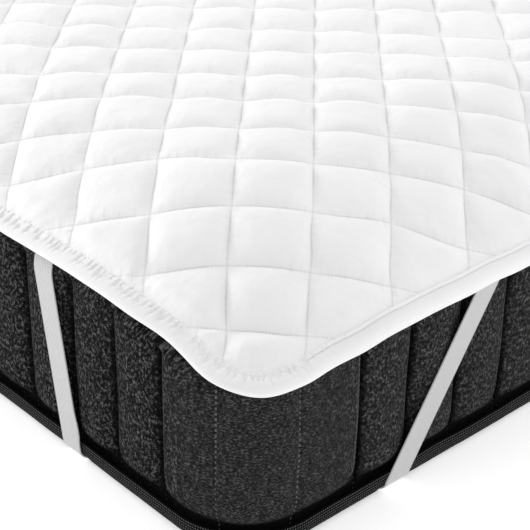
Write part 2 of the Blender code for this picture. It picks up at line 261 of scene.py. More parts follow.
def tidyMesh(piece, angle=40, fillEnds=False):
    bpy.ops.object.select_all(action="DESELECT")
    piece.select_set(True)
    bpy.context.view_layer.objects.active = piece
    bpy.ops.object.mode_set(mode="EDIT")
    bpy.ops.mesh.select_all(action="SELECT")
    bpy.ops.mesh.remove_doubles(threshold=0.000005)
    if fillEnds:
        bpy.ops.mesh.select_all(action="DESELECT")
        bpy.ops.mesh.select_non_manifold()
        bpy.ops.mesh.edge_face_add()
    bpy.ops.mesh.select_all(action="SELECT")
    bpy.ops.mesh.normals_make_consistent(inside=False)
    bpy.ops.object.mode_set(mode="OBJECT")
    bpy.ops.object.shade_smooth_by_angle(angle=math.radians(angle))


def finishPiece(piece, finish, slot, *nodes):
    piece.data.materials.clear()
    piece.data.materials.append(finish)
    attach(piece, "root")
    if nodes:
        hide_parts(*nodes)


# materials


class Value:
    # a socket's value; sums on it add Math nodes

    def __init__(self, finish, socket):
        self.finish = finish
        self.socket = socket

    def sum(self, operation, first, second=0.0):
        return self.finish.node("ShaderNodeMath", {"operation": operation}, {0: first, 1: second})

    def __add__(self, other):
        return self.sum("ADD", self, other)

    def __radd__(self, other):
        return self.sum("ADD", other, self)

    def __sub__(self, other):
        return self.sum("SUBTRACT", self, other)

    def __rsub__(self, other):
        return self.sum("SUBTRACT", other, self)

    def __mul__(self, other):
        return self.sum("MULTIPLY", self, other)

    def __rmul__(self, other):
        return self.sum("MULTIPLY", other, self)

    def __abs__(self):
        return self.sum("ABSOLUTE", self)

    def __mod__(self, other):
        return self.sum("FLOORED_MODULO", self, other)


class Finish:
    # a material whose nodes are added by one method

    def __init__(self, name, roughness, **constants):
        self.material = bpy.data.materials.new(name)
        self.material.use_nodes = True
        self.tree = self.material.node_tree
        self.shader = self.tree.nodes["Principled BSDF"]
        self.shader.inputs["Roughness"].default_value = roughness
        for socket, value in constants.items():
            self.shader.inputs[socket.replace("_", " ")].default_value = value

    def node(self, kind, settings=None, inputs=None, output=0):
        made = self.tree.nodes.new(kind)
        for key, value in (settings or {}).items():
            if key == "stops":
                while len(made.color_ramp.elements) < len(value):
                    made.color_ramp.elements.new(0.5)
                for element, (place, colour) in zip(made.color_ramp.elements, value):
                    element.position = place
                    element.color = colour
            else:
                setattr(made, key, value)
        for key, value in (inputs or {}).items():
            self.feed(made.inputs[key], value)
        return Value(self, made.outputs[output])

    def feed(self, socket, value):
        if isinstance(value, Value):
            self.tree.links.new(value.socket, socket)
        else:
            socket.default_value = value

    def surface(self, **links):
        for socket, value in links.items():
            self.feed(self.shader.inputs[socket.replace("_", " ")], value)

    def place(self):
        # object coordinates, in metres
        return self.node("ShaderNodeTexCoord", output="Object")

    def single(self, vector, axis):
        return self.node("ShaderNodeSeparateXYZ", {}, {"Vector": vector}, axis)

    def mapped(self, name):
        # the two values of one of the piece's own UV maps
        pair = self.node("ShaderNodeUVMap", {"uv_map": name})
        return self.single(pair, "X"), self.single(pair, "Y")

    def joined(self, x, y, z=0.0):
        return self.node("ShaderNodeCombineXYZ", {}, {"X": x, "Y": y, "Z": z})

    def noise(self, vector, scale, detail=2.0, roughness=0.5):
        return self.node("ShaderNodeTexNoise", {}, {"Vector": vector, "Scale": scale, "Detail": detail,
                                                    "Roughness": roughness}, "Fac")

    def between(self, value, low, high, toLow=0.0, toHigh=1.0):
        return self.node("ShaderNodeMapRange", {"interpolation_type": "SMOOTHSTEP"},
                         {"Value": value, "From Min": low, "From Max": high,
                          "To Min": toLow, "To Max": toHigh})

    def colours(self, value, stops):
        return self.node("ShaderNodeValToRGB", {"stops": stops}, {"Fac": value}, "Color")

    def blended(self, share, first, second):
        return self.node("ShaderNodeMix", {"data_type": "RGBA"}, {0: share, 6: first, 7: second}, 2)

    def bump(self, height):
        # height in metres
        return self.node("ShaderNodeBump", {}, {"Height": height, "Distance": 1.0, "Strength": 1.0})


def grey(level):
    return (level, level, level, 1.0)


def offHalf(value):
    # how far a value is from half way between two whole numbers
    return abs(value % 1 - 0.5)


# quilted cloth

quilt = {
    "halfWidth": 0.7205,
    "halfLength": 1.0045,
    "corner": 0.077,
    "crossing": (0.6343, -0.9603),   # one crossing of the seams
    "diagonal": 0.0999,              # a diamond, point to point
    "turn": 0.0139,                  # the quilting is a little askew at the photographed corner
    "turnFades": (0.8, 1.8),         # and straight between these distances from it
    "cells": (-15, 21, -34, 2),      # the seams drawn, both ways
    "steps": (0.0, 0.022, 0.062, 0.14, 0.29, 0.5, 0.71, 0.86, 0.938, 0.978),
    "seam": 0.0040,                  # thickness at the seams and in the middle of a puff
    "puff": 0.0110,
    "fullness": 3.0,                 # higher is fuller
    "calm": (0.20, 0.60, 1.40),      # puffs are lower by this share, reached between these distances
    "edgeThickness": 0.0030,
    "edgeFade": 0.022,
    "gathered": 0.060,               # strip with a finer mesh at the two ends
    "cut": 0.0015,                   # the raw edge inside the folded tape
    "tape": 0.020,
    "below": 0.0035,                 # gap under the edge
    "gap": 0.0003,
    "gapReach": 0.050,
    "wander": (0.0008, 0.0013),      # how far crossings stray, along both seams
    "ripple": 0.0004,
    "rippleSeeds": (21, 22),
    "stitches": 24,                  # in one side of a diamond
    # crossings seen to stray at the photographed corner, in millimetres, counted from "crossing"
    "strays": {(-3, -8): 6, (-2, -8): 5, (-1, -8): 7, (3, -8): 5, (4, -8): 10, (-3, -7): 4, (4, -7): 8,
               (2, -7): -5, (-3, -6): 10, (-2, -6): 4, (4, -6): 9, (0, -6): 2, (1, -6): 3, (2, -6): 4,
               (0, -9): -6, (1, -9): -3, (2, -9): -10, (3, -9): -9, (4, -9): -11, (-3, -4): -4, (-1, -4): 3,
               (-3, -3): -5, (-2, -3): -8, (-1, -3): -9, (0, -3): -2, (1, -3): -5, (2, -3): -9, (3, -3): -11,
               (-1, -2): 4, (0, -2): 1, (2, -2): -9, (-1, -1): 8},
    "seen": (-3, 4, -9, 0),          # these crossings stray only as listed
    "roll": 0.0009,                  # unevenness of the puffs
    "pulls": {"pitch": 0.0135, "contrast": 1.6, "widths": (0.0030, 0.0060), "lengths": (0.016, 0.048),
              "slant": 0.45, "height": 0.0022},
    "undersidePoints": 60,           # to a quarter of the outline
    "undersideRows": (0.12, 0.25, 0.45, 0.65, 0.85),
    "seed": 5,
}


def waves(x, y, seed, sizes):
    # a smooth uneven surface from a few turned waves
    count = 7
    draw = np.random.default_rng(seed)
    total = np.zeros_like(x)
    for _ in range(count):
        turn = draw.uniform(0, math.tau)
        length = draw.uniform(*sizes)
        phase = draw.uniform(0, math.tau)
        total += np.sin(math.tau * (x * math.cos(turn) + y * math.sin(turn)) / length + phase)
    return total / math.sqrt(count / 2)


def clothInset(u, v):
    coreU = quilt["halfWidth"] - quilt["corner"]
    coreV = quilt["halfLength"] - quilt["corner"]
    overU, overV = np.abs(u) - coreU, np.abs(v) - coreV
    inCorner = (overU > 0) & (overV > 0)
    return np.where(inCorner, quilt["corner"] - np.hypot(overU, overV),
                    np.minimum(quilt["halfWidth"] - np.abs(u), quilt["halfLength"] - np.abs(v)))


def clothPlace(u, v):
    # distance along the cloth's outline, as roundedOutline counts it, with one jump on the far long side
    radius = quilt["corner"]
    straightU, straightV = quilt["halfWidth"] - radius, quilt["halfLength"] - radius
    halfArc = math.pi / 4 * radius
    overU, overV = np.abs(u) - straightU, np.abs(v) - straightV
    bySide = halfArc - overV
    byEnd = overU - halfArc
    byCorner = halfArc - radius * np.arctan2(np.maximum(overV, 0), np.maximum(overU, 1e-9))
    fromCorner = np.where((overU > 0) & (overV > 0), byCorner, np.where(overU > overV, bySide, byEnd))
    longHalf = straightV + halfArc
    half = 2 * (straightU + straightV) + 4 * halfArc
    near = np.where(v < 0, fromCorner, 2 * longHalf - fromCorner)
    far = np.where(v < 0, 2 * longHalf - half - fromCorner, half + fromCorner)
    return np.where(u > 0, near, far)


def strokes(place, depth, setting, seed):
    # short folds that start at depth 0 and run across the edge, uneven in place, turn, length and height
    total = outlineLength(quilt)
    draw = np.random.default_rng(seed)
    count = int(total / setting["pitch"])
    centre = (np.arange(count) + 0.5 + draw.uniform(-0.40, 0.40, count)) * total / count
    strength = draw.uniform(0.15, 1.0, count) ** setting["contrast"]
    width = draw.uniform(*setting["widths"], count)
    length = draw.uniform(*setting["lengths"], count)
    slant = draw.normal(0, setting["slant"], count)
    raised = np.zeros_like(place)
    nearest = np.searchsorted(centre, np.mod(place, total))
    for step in (-2, -1, 0, 1):
        which = (nearest + step) % count
        away = np.mod(place - centre[which] + total / 2, total) - total / 2 - slant[which] * depth
        fade = 1 - smooth(0.15, 1.0, depth / length[which])
        raised += strength[which] * fade * np.exp(-(away / width[which]) ** 2)
    return raised


def gatherShare(y):
    # gathers are deep at the two ends and round the corners, faint along the sides
    return 0.08 + 0.92 * smooth(0.90, 0.97, np.abs(y))


def clothGap(inset):
    share = np.clip((inset - quilt["tape"]) / (quilt["gapReach"] - quilt["tape"]), 0, 1)
    return quilt["below"] + (quilt["gap"] - quilt["below"]) * share


def puffHeight(p, q, u, v, inset):
    # thickness of the quilting where the seams are at whole numbers of p and q
    rounded = np.abs(np.sin(math.pi * p)) * np.abs(np.sin(math.pi * q))
    drop, near, far = quilt["calm"]
    fromCorner = np.hypot(u - quilt["crossing"][0], v - quilt["crossing"][1])
    fill = (1 - (1 - rounded) ** quilt["fullness"]) * (1 - drop * smooth(near, far, fromCorner))
    fade = smooth(quilt["tape"] - 0.002, quilt["tape"] + quilt["edgeFade"], inset)
    uneven = 1 + 0.10 * waves(u, v, quilt["seed"] + 3, (0.12, 0.4))
    puff = (quilt["puff"] - quilt["seam"]) * fill * uneven
    folds = quilt["roll"] * fill * waves(u, v, quilt["seed"] + 4, (0.035, 0.09))
    edge = quilt["edgeThickness"] + (quilt["seam"] - quilt["edgeThickness"]) * fade
    inside = inset - quilt["tape"]
    pulls = strokes(clothPlace(u, v), np.maximum(0, inside), quilt["pulls"], quilt["seed"] + 5)
    pulls *= quilt["pulls"]["height"] * gatherShare(v) * smooth(0, 0.006, inside)
    return edge + (puff + folds) * fade + pulls


def seamPlaces(p, q):
    # flat cloth places of the points with seam numbers p and q, where the seams wander as sewn by hand
    pLow, pHigh, qLow, qHigh = quilt["cells"]
    draw = np.random.default_rng(quilt["seed"])
    shape = (pHigh - pLow + 2, qHigh - qLow + 2)
    strayP = draw.normal(0, quilt["wander"][0], shape)
    strayQ = draw.normal(0, quilt["wander"][1], shape)
    p0, p1, q0, q1 = quilt["seen"]
    strayP[p0 - pLow:p1 + 1 - pLow, q0 - qLow:q1 + 1 - qLow] = 0
    strayQ[p0 - pLow:p1 + 1 - pLow, q0 - qLow:q1 + 1 - qLow] = 0
    for (atP, atQ), far in quilt["strays"].items():
        strayQ[atP - pLow, atQ - qLow] = far / 1000
    wholeP, wholeQ = np.floor(p), np.floor(q)
    shareP, shareQ = smooth(0, 1, p - wholeP), smooth(0, 1, q - wholeQ)
    row, column = (wholeP - pLow).astype(int), (wholeQ - qLow).astype(int)

    def between(stray):
        near = stray[row, column] * (1 - shareP) + stray[row + 1, column] * shareP
        far = stray[row, column + 1] * (1 - shareP) + stray[row + 1, column + 1] * shareP
        return near * (1 - shareQ) + far * shareQ

    side = quilt["diagonal"] / math.sqrt(2)
    byP = p * side + between(strayP)
    byQ = q * side + between(strayQ)
    alongU, alongV = (byP + byQ) / math.sqrt(2), (byP - byQ) / math.sqrt(2)
    near, far = quilt["turnFades"]
    turn = quilt["turn"] * (1 - smooth(near, far, np.hypot(alongU, alongV)))
    u = quilt["crossing"][0] + alongU - turn * alongV
    v = quilt["crossing"][1] + alongV + turn * alongU
    ripple = quilt["ripple"]
    first, second = quilt["rippleSeeds"]
    return u + ripple * waves(u, v, first, (0.04, 0.09)), v + ripple * waves(u, v, second, (0.04, 0.09))


def cutOutline(mesh, halfX, halfY, radius):
    # trims the flat cloth to a rounded rectangle, side by side
    cuts = []
    for signX in (1, -1):
        for signY in (1, -1):
            centre = Vector(((halfX - radius) * signX, (halfY - radius) * signY, 0))
            for step in range(10):
                turn = math.radians(step * 10)
                out = Vector((math.cos(turn) * signX, math.sin(turn) * signY, 0))
                cuts.append((centre + out * radius, out))
    cuts.append((Vector((0, halfY, 0)), Vector((0, 1, 0))))
    cuts.append((Vector((0, -halfY, 0)), Vector((0, -1, 0))))
    for point, out in cuts:
        faces = [face for face in mesh.faces
                 if max((vertex.co - point).dot(out) for vertex in face.verts) > -0.001]
        if not faces:
            continue
        # each once and in a fixed order, so that every run gives the same mesh
        edges = list(dict.fromkeys(edge for face in faces for edge in face.edges))
        corners = list(dict.fromkeys(vertex for face in faces for vertex in face.verts))
        bmesh.ops.bisect_plane(mesh, geom=corners + edges + faces, dist=1e-6, plane_co=point, plane_no=out,
                               clear_outer=True)


def placeRound(u, v):
    # runs from 0 to 4 round the cloth
    across, along = u / quilt["halfWidth"], v / quilt["halfLength"]
    if abs(across) >= abs(along):
        share = along / abs(across)
        return 0.5 + share / 2 if across > 0 else 2.5 - share / 2
    share = across / abs(along)
    return 1.5 - share / 2 if along > 0 else 3.5 + share / 2


def zipLoops(mesh, outer, inner):
    # triangles between two loops of (place, vertex) with different counts
    place = other = 0
    while place < len(outer) or other < len(inner):
        outerNext = outer[place][0] if place < len(outer) else math.inf
        innerNext = inner[other][0] if other < len(inner) else math.inf
        near, far = outer[place % len(outer)][1], inner[other % len(inner)][1]
        if outerNext <= innerNext:
            mesh.faces.new((outer[place - 1][1], near, inner[other - 1][1]))
            place += 1
        else:
            mesh.faces.new((outer[place - 1][1], far, inner[other - 1][1]))
            other += 1


def clothLoop(insetX, insetY, count):
    # a closed loop of cloth points with its sides this far in, the same count at every inset
    halfX, halfY = quilt["halfWidth"] - insetX, quilt["halfLength"] - insetY
    radius = max(quilt["corner"] - min(insetX, insetY), 0.012)
    third = count // 3
    quarter = [(halfX, (halfY - radius) * step / third) for step in range(third)]
    for step in range(third + 1):
        turn = math.pi / 2 * step / third
        quarter.append((halfX - radius + radius * math.cos(turn), halfY - radius + radius * math.sin(turn)))
    quarter += [((halfX - radius) * step / third, halfY) for step in range(third - 1, 0, -1)]
    quarter = np.array(quarter)
    turned = quarter[::-1]
    top = np.concatenate([quarter, [[0, halfY]], turned[:-1] * (-1, 1)])
    return np.concatenate([top, [[-halfX, 0]], top[1:] * (-1, -1)])


def addUnderside(mesh, boundary):
    count = quilt["undersidePoints"]
    insets = [(depth, depth) for depth in (quilt["cut"], 0.0065, 0.0130, quilt["tape"])]
    width = quilt["halfWidth"] - bed["flatX"]
    length = quilt["halfLength"] - bed["flatY"]
    insets += [(share * width, share * length) for share in quilt["undersideRows"]]
    insets.append((width, length))
    loops = []
    for insetX, insetY in insets:
        points = clothLoop(insetX, insetY, count)
        lift = clothGap(clothInset(points[:, 0], points[:, 1]))
        loops.append([(placeRound(u, v), mesh.verts.new(point))
                      for (u, v), point in zip(points, drape(points[:, 0], points[:, 1], lift))])
    for first, second in zip(loops, loops[1:]):
        for index in range(len(first)):
            mesh.faces.new((first[index - 1][1], first[index][1], second[index][1], second[index - 1][1]))
    mesh.faces.new([vertex for _, vertex in loops[-1]])
    zipLoops(mesh, sorted(boundary, key=lambda item: item[0]), sorted(loops[0], key=lambda item: item[0]))


def makeQuilt():
    pLow, pHigh, qLow, qHigh = quilt["cells"]
    steps = np.array(quilt["steps"])
    fine = len(steps)
    piece, column, row = startGrid("quiltedCloth", (pHigh - pLow) * fine, (qHigh - qLow) * fine)
    p = pLow + column // fine + steps[column % fine]
    q = qLow + row // fine + steps[row % fine]
    u, v = seamPlaces(p, q)
    movePoints(piece, np.stack([u, v, np.zeros_like(u)], axis=1))
    for name, values in (("seamP", p), ("seamQ", q)):
        layer = piece.data.attributes.new(name, "FLOAT", "POINT")
        layer.data.foreach_set("value", values.astype(np.float32))
    for name in ("along", "inset"):
        piece.data.attributes.new(name, "FLOAT", "POINT")

    mesh = bmesh.new()
    mesh.from_mesh(piece.data)
    farX, farY = quilt["halfWidth"] + 0.02, quilt["halfLength"] + 0.02
    outside = [face for face in mesh.faces
               if all(abs(vertex.co.x) > farX or abs(vertex.co.y) > farY for vertex in face.verts)]
    bmesh.ops.delete(mesh, geom=outside, context="FACES")
    cut = quilt["cut"]
    cutOutline(mesh, quilt["halfWidth"] - cut, quilt["halfLength"] - cut, quilt["corner"] - cut)
    gathered = [edge for edge in mesh.edges
                if min(abs(vertex.co.y) for vertex in edge.verts) > quilt["halfLength"] - quilt["gathered"]]
    bmesh.ops.subdivide_edges(mesh, edges=gathered, cuts=2, use_grid_fill=True)
    layerP, layerQ = mesh.verts.layers.float["seamP"], mesh.verts.layers.float["seamQ"]
    layerAlong, layerInset = mesh.verts.layers.float["along"], mesh.verts.layers.float["inset"]
    flat = np.array([(vertex.co.x, vertex.co.y, vertex[layerP], vertex[layerQ]) for vertex in mesh.verts])
    u, v, p, q = flat.T
    inset = clothInset(u, v)
    lift = clothGap(inset) + puffHeight(p, q, u, v, inset)
    places = drape(u, v, lift)
    boundary = []
    for vertex, point, flatU, flatV, depth, along in zip(mesh.verts, places, u, v, inset, clothPlace(u, v)):
        if vertex.is_boundary:
            boundary.append((placeRound(flatU, flatV), vertex))
        vertex.co = point
        vertex[layerInset] = depth
        vertex[layerAlong] = along
    addUnderside(mesh, boundary)
    bmesh.ops.recalc_face_normals(mesh, faces=mesh.faces[:])
    mesh.to_mesh(piece.data)
    mesh.free()

    for name, first, second in (("seams", "seamP", "seamQ"), ("edge", "along", "inset")):
        pair = np.empty((2, len(piece.data.vertices)))
        piece.data.attributes[first].data.foreach_get("value", pair[0])
        piece.data.attributes[second].data.foreach_get("value", pair[1])
        addMap(piece, name, pair.T)
    for name in ("seamP", "seamQ", "along", "inset"):
        piece.data.attributes.remove(piece.data.attributes[name])
    tidyMesh(piece, angle=60)
    return piece


def makeQuiltFinish():
    finish = Finish("whiteQuiltedCotton", 0.85, Sheen_Weight=0.15, Sheen_Roughness=0.5)
    p, q = finish.mapped("seams")
    along, inset = finish.mapped("edge")
    cell = quilt["diagonal"] / math.sqrt(2)
    fromP = offHalf(p + 0.5) * cell                  # metres to the nearest seam, both ways
    fromQ = offHalf(q + 0.5) * cell
    holes = []
    for distance, run in ((fromP, q), (fromQ, p)):
        onLine = finish.between(distance, 0.0004, 0.0012, 1.0, 0.0)
        dot = finish.between(offHalf(run * quilt["stitches"]), 0.24, 0.36, 1.0, 0.0)
        holes.append(onLine * dot)
    hole = (holes[0] + holes[1]) * finish.between(inset, 0.019, 0.022)
    weave = finish.noise(finish.place(), 1400, 1.0)
    wash = finish.noise(finish.place(), 9, 3.0)
    tone = finish.colours(wash, [(0.3, grey(0.872)), (0.7, grey(0.897))])
    colour = finish.blended(hole * 0.18, tone, grey(0.45))

    pullP = finish.noise(finish.joined(q * 9, p * 0.9), 1.0, 1.5)
    pullQ = finish.noise(finish.joined(p * 9, q * 0.9, 7.0), 1.0, 1.5)
    puckers = (pullP - 0.5) * finish.between(fromP, 0.001, 0.014, 1.0, 0.0) \
        + (pullQ - 0.5) * finish.between(fromQ, 0.001, 0.014, 1.0, 0.0)
    ends = finish.between(abs(finish.single(finish.place(), "Y")), 0.88, 0.96, 0.06, 1.0)
    reach = finish.noise(finish.joined(along * 60, 3.0), 1.0, 1.0) * 0.014
    reach = reach * finish.between(abs(along), 0.06, 0.15, 0.4, 1.0)      # shorter round the corner
    near = finish.between(inset - reach, 0.008, 0.017, 1.0, 0.0) * finish.between(inset, 0.0185, 0.0215)
    crease = finish.noise(finish.joined(along * 150, inset * 42), 1.0, 0.4)
    tug = finish.between(abs(crease - 0.5), 0.0, 0.10, 1.0, 0.0)
    gathers = tug * near * ends
    crumple = finish.noise(finish.joined(p * 2.3, q * 2.3, 4.0), 1.0, 3.0) - 0.5
    height = puckers * 0.0018 + crumple * 0.0030 - gathers * 0.0014 - hole * 0.0003 + weave * 0.00006
    # painted shade: besides their bump, the gather creases beside the tape are painted darker
    colour = finish.blended(gathers * 0.46, colour, grey(0.45))
    finish.surface(Base_Color=colour, Normal=finish.bump(height))
    return finish.material


quiltPiece = makeQuilt()
finishPiece(quiltPiece, makeQuiltFinish(), "white_cotton", "quilted_cloth")
print("quilted cloth", len(quiltPiece.data.polygons))

# folded edge tape

tape = {
    "stations": 3600,
    "above": 0.0078,                 # top of the fold over the mattress
    "below": 0.0022,
    "thickness": 0.0010,
    "width": 0.020,
    "ridge": 0.0014,                 # the turned-in edge of the tape stands up
    "gathers": {"pitch": 0.0058, "contrast": 0.6, "widths": (0.0012, 0.0019), "lengths": (0.005, 0.014),
                "slant": 0.22, "height": 0.0056},
    "folds": {"pitch": 0.0150, "contrast": 1.2, "widths": (0.0028, 0.0050), "lengths": (0.012, 0.020),
              "slant": 0.30, "height": 0.0012},
    "rows": 21,                      # in the profile, and how many of them are on the upper side
    "upperRows": 11,
    "stitchRow": 5.0,
    "outward": 0.35,                 # share of a gather's depth by which it also moves to the edge
    "stitches": 330,                 # in a metre
    "seed": 11,
}


def makeBinding():
    width, above, below = tape["width"], tape["above"], tape["below"]
    thick = tape["thickness"]
    # inset from the edge, height over the mattress, share of the ridge; the upper side comes first
    profile = [(width, above - thick, 0.0), (width + 0.0006, above - thick * 0.3, 0.0),
               (width + 0.0003, above, 0.7), (width - 0.0009, above, 1.0), (width - 0.0022, above, 0.35),
               (width - 0.0032, above, -0.64), (width - 0.0050, above + 0.0001, 0),
               (0.0112, above + 0.0009, 0), (0.0070, above + 0.0008, 0), (0.0030, above + 0.0001, 0),
               (0.0008, above - 0.0012, 0), (0.0, (above + below) / 2, 0), (0.0006, below + 0.0010, 0),
               (0.0026, below, 0), (0.0130, below, 0),
               (width, below, 0), (width, below + thick, 0), (0.0130, below + thick, 0),
               (0.0022, below + thick, 0), (0.0022, above - thick, 0), (0.0100, above - thick, 0)]
    count, rows = tape["stations"], tape["rows"]
    piece, column, row = startGrid("edgeBinding", count, rows)
    # stations are close together where the tape is gathered
    total = outlineLength(quilt)
    even = np.linspace(0, total, 20001)
    level = roundedOutline(quilt, even)[1]
    density = np.where(level < -0.88, 1.0, np.where(level > 0.88, 0.6, 0.12))
    stations = np.interp(np.linspace(0, density.sum(), count + 1), np.cumsum(density), even)
    place = stations[column % count]
    x, y, outX, outY = roundedOutline(quilt, place)
    inset, lift, share = np.array(profile + profile[:1]).T
    inset, lift, share = inset[row], lift[row], share[row]
    fromTop = np.maximum(0, tape["width"] - inset)
    gathered = gatherShare(y)
    gather = strokes(place, fromTop, tape["gathers"], tape["seed"]) * tape["gathers"]["height"]
    folds = strokes(place, fromTop, tape["folds"], tape["seed"] + 2) * tape["folds"]["height"]
    sway = 0.0003 * waves(x, y, tape["seed"] + 1, (0.04, 0.15))
    upper = (row % rows < tape["upperRows"]) * smooth(0.002, 0.010, inset)
    lift = lift + share * tape["ridge"] * (1 - 0.8 * gathered) - upper * gathered * (gather + folds)
    inset = inset + sway - upper * tape["outward"] * gathered * gather
    movePoints(piece, drape(x - outX * inset, y - outY * inset, lift))
    addMap(piece, "tape", np.stack([stations[column], row / rows], axis=1))
    tidyMesh(piece, angle=50)
    return piece


def makeBindingFinish():
    finish = Finish("whiteTape", 0.8, Sheen_Weight=0.12, Sheen_Roughness=0.5)
    along, across = finish.mapped("tape")
    line = finish.between(abs(across * tape["rows"] - tape["stitchRow"]), 0.15, 0.45, 1.0, 0.0)
    dot = finish.between(offHalf(along * tape["stitches"]), 0.22, 0.36, 1.0, 0.0)
    hole = line * dot
    rib = finish.noise(finish.joined(along * 900, across * 4), 1.0, 0.0)
    wash = finish.noise(finish.place(), 14, 3.0)
    tone = finish.colours(wash, [(0.3, grey(0.835)), (0.7, grey(0.860))])
    finish.surface(Base_Color=finish.blended(hole * 0.12, tone, grey(0.5)),
                   Normal=finish.bump(rib * 0.00008 - hole * 0.0003))
    return finish.material


bindingPiece = makeBinding()
finishPiece(bindingPiece, makeBindingFinish(), "white_binding", "edge_binding")
print("edge binding", len(bindingPiece.data.polygons))

# mattress

mattress = {
    "channels": 104,
    "pitch": 0.064,
    "steps": (0.0, 0.018, 0.05, 0.11, 0.21, 0.35, 0.5, 0.65, 0.79, 0.89, 0.95, 0.982),
    # seams near the photographed corner, metres along the side from the middle of the corner
    "cornerSeams": (-0.2824, -0.2118, -0.1530, -0.0903, -0.0222, 0.0531, 0.1289, 0.1881, 0.2530, 0.3171),
    "beside": (4, 5),                # the two of them that are shallow and show their thread
    "groove": 0.0145,
    "shallow": 0.30,                 # share of the groove at those two
    "fullness": 0.42,
    "uneven": 0.0012,
    "seamWander": 0.0016,
    "stitches": 190,                 # in a metre
    "seed": 31,
}


def channelPlaces(total):
    # where the channel seams are along the side: even, with the measured ones at the corner
    count = mattress["channels"]
    measured = np.array(mattress["cornerSeams"])
    draw = np.random.default_rng(mattress["seed"])
    left = total - (measured[-1] - measured[0])
    between = count - (len(measured) - 1)
    gaps = 1 + draw.uniform(-0.05, 0.05, between)
    gaps *= left / gaps.sum()
    rest = measured[-1] + np.cumsum(gaps)
    return np.concatenate([measured, rest[:-1]])


def makeMattress():
    total = outlineLength(bed)
    seams = channelPlaces(total)
    seams = np.append(seams, seams[0] + total)
    steps = np.array(mattress["steps"])
    fine = len(steps)
    count = mattress["channels"] * fine
    # rows from the top down; those at the foot are an inset, a height and the groove's share
    sideRows = [0.150, 0.134, 0.118, 0.102, 0.086, 0.072, 0.060, 0.050, 0.042]
    foot = [(0.0008, 0.036, 1.0), (0.0030, 0.0305, 0.85), (0.0062, 0.0262, 0.55), (0.0100, 0.0232, 0.2),
            (0.0120, 0.0205, 0), (0.0125, 0.012, 0), (0.0135, 0.0018, 0)]
    topInsets = [0.070, 0.048, 0.030, 0.016]
    under = 0.001                    # the top is kept this far below where the cloth lies
    flatShares = [1.0, 0.66, 0.33]
    rimAngles = [fullSlope, 0.7, 0.95, 1.2, 1.4, math.pi / 2]
    kinds = [("flat", share) for share in flatShares] + [("top", inset) for inset in topInsets]
    kinds += [("rim", angle) for angle in rimAngles]
    kinds += [("side", height) for height in sideRows] + [("foot", setting) for setting in foot]
    piece, column, row = startGrid("mattressBody", count, len(kinds) - 1)
    channel = column % count // fine
    share = steps[column % fine]
    place = seams[channel] + (seams[channel + 1] - seams[channel]) * share
    measure = (channel + share) + np.where(column == count, mattress["channels"], 0)
    points = np.zeros((len(column), 3))
    groove = np.zeros(len(column))
    height = np.zeros(len(column))
    x, y, outX, outY = roundedOutline(bed, place)
    rimLevel = rimPoint(x, y, np.full(len(x), math.pi / 2), np.zeros(len(x)))[:, 2]
    for index, (kind, value) in enumerate(kinds):
        here = row == index
        px, py, ox, oy = x[here], y[here], outX[here], outY[here]
        if kind == "flat":
            fromX, fromY = px - ox * topInsets[0], py - oy * topInsets[0]
            toX = np.clip(fromX, -bed["flatX"], bed["flatX"])
            toY = np.clip(fromY, -bed["flatY"], bed["flatY"])
            atX, atY = fromX + (toX - fromX) * value, fromY + (toY - fromY) * value
            points[here] = np.stack([atX, atY, topHeight(atX, atY) - under], axis=1)
        elif kind == "top":
            atX, atY = px - ox * value, py - oy * value
            level = topHeight(atX, atY) - under * smooth(0.01, 0.05, value)
            points[here] = np.stack([atX, atY, level], axis=1)
        elif kind == "rim":
            points[here] = rimPoint(px, py, np.full(len(px), value), np.zeros(len(px)))
            groove[here] = smooth(fullSlope, 1.4, value)
        elif kind == "side":
            # spread between the lowest of these rows and the rim, which is higher at the ends
            low, high = sideRows[-1], 0.162
            level = low + (rimLevel[here] - low) * (value - low) / (high - low)
            points[here] = np.stack([px, py, level], axis=1)
            groove[here] = 1
        else:
            inset, level, groove[here] = value
            points[here] = np.stack([px - ox * inset, py - oy * inset, np.full(len(px), level)], axis=1)
        height[here] = points[here][:, 2]
    across = steps[column % fine]
    fill = np.sin(math.pi * across) ** mattress["fullness"]
    # the seam at a channel's near end is its own, the one at its far end is the next channel's
    own = np.where(across < 0.5, channel, channel + 1)
    fill = np.where(np.isin(own, mattress["beside"]), 1 - (1 - fill) * mattress["shallow"], fill)
    wander = mattress["seamWander"] * np.sin(height * 40 + channel * 2.1) * smooth(0.02, 0.05, height)
    depth = mattress["groove"] * (1 - fill) + mattress["uneven"] * fill * (
        0.6 + 0.5 * waves(place, height * 1.5, mattress["seed"] + 1, (0.05, 0.16)))
    points[:, 0] -= outX * depth * groove + outY * wander * groove * (1 - fill)
    points[:, 1] -= outY * depth * groove - outX * wander * groove * (1 - fill)
    movePoints(piece, points)
    addMap(piece, "channels", np.stack([measure, height], axis=1))
    addMap(piece, "side", np.stack([place, height], axis=1))
    tidyMesh(piece, angle=60, fillEnds=True)
    return piece


